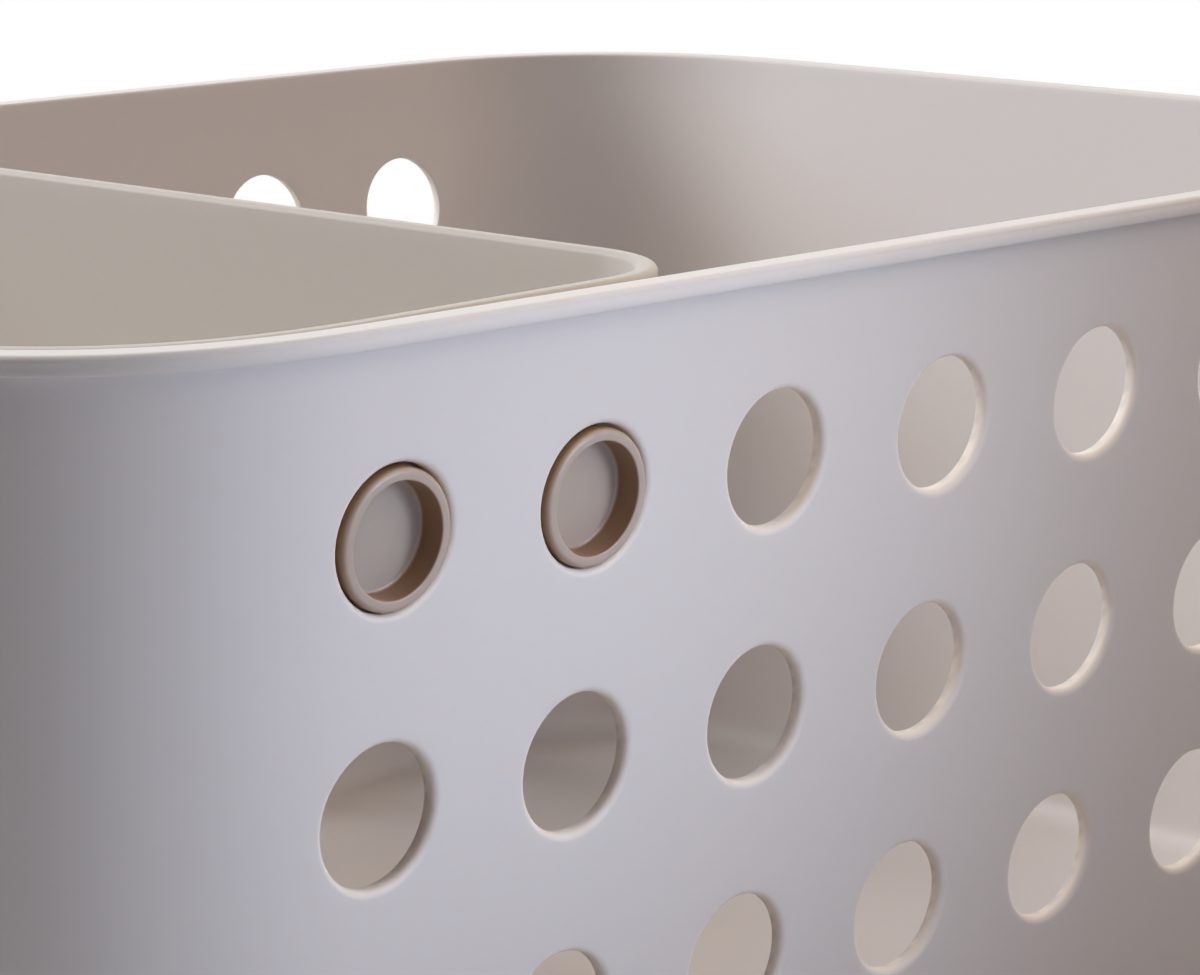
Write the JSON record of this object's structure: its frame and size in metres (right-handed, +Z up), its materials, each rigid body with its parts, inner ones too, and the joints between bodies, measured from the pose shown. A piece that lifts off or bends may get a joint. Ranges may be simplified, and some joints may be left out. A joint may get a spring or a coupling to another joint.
{
  "type": "storage basket",
  "caption": "Rectangular perforated storage basket with sloping sides, a flanged rim and a shallow lift-out tray held in one end by hollow ring plugs.",
  "frame": {"origin": "centre of the basket's underside, on the surface that it stands on", "axes": "+X along the long walls away from the tray, -Y towards the front wall, +Z up"},
  "size_m": [0.35, 0.24, 0.142],
  "materials": {
    "basket_plastic": "satin",
    "tray_plastic": "satin",
    "plug_plastic": "satin"
  },
  "bodies": {
    "basket": {"basket_body": "basket_plastic"},
    "tray": {"insert_tray": "tray_plastic", "ring_plug_front_left": "plug_plastic", "ring_plug_front_right": "plug_plastic", "ring_plug_rear_left": "plug_plastic", "ring_plug_rear_right": "plug_plastic"}
  },
  "joints": [
    {"name": "tray_lift", "type": "slide", "parent": "basket", "child": "tray", "axis": [0, 0, 1], "range_m": [0, 0.062], "deforming": ["ring_plug_front_left", "ring_plug_front_right", "ring_plug_rear_left", "ring_plug_rear_right"]}
  ]
}
